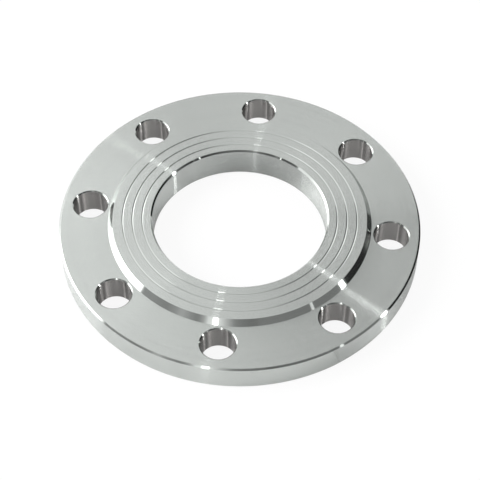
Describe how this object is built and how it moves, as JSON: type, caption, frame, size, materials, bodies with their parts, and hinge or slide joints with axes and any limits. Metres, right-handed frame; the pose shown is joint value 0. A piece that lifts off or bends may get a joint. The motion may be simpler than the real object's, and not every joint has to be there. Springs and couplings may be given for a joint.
{
  "type": "weld flange",
  "caption": "Flat round steel flange that is welded onto a pipe: raised gasket face with fine concentric grooves, plain pipe bore and a circle of bolt holes.",
  "frame": {"origin": "on the axis of the pipe bore, in the plane of the back face", "axes": "+Z along the bore axis, out of the raised gasket face; X and Y run midway between neighbouring bolt holes"},
  "size_m": [0.19, 0.19, 0.0178],
  "materials": {
    "turned_steel": "fine turned, satin to bright"
  },
  "bodies": {
    "root": {"flange": "turned_steel"}
  },
  "joints": []
}
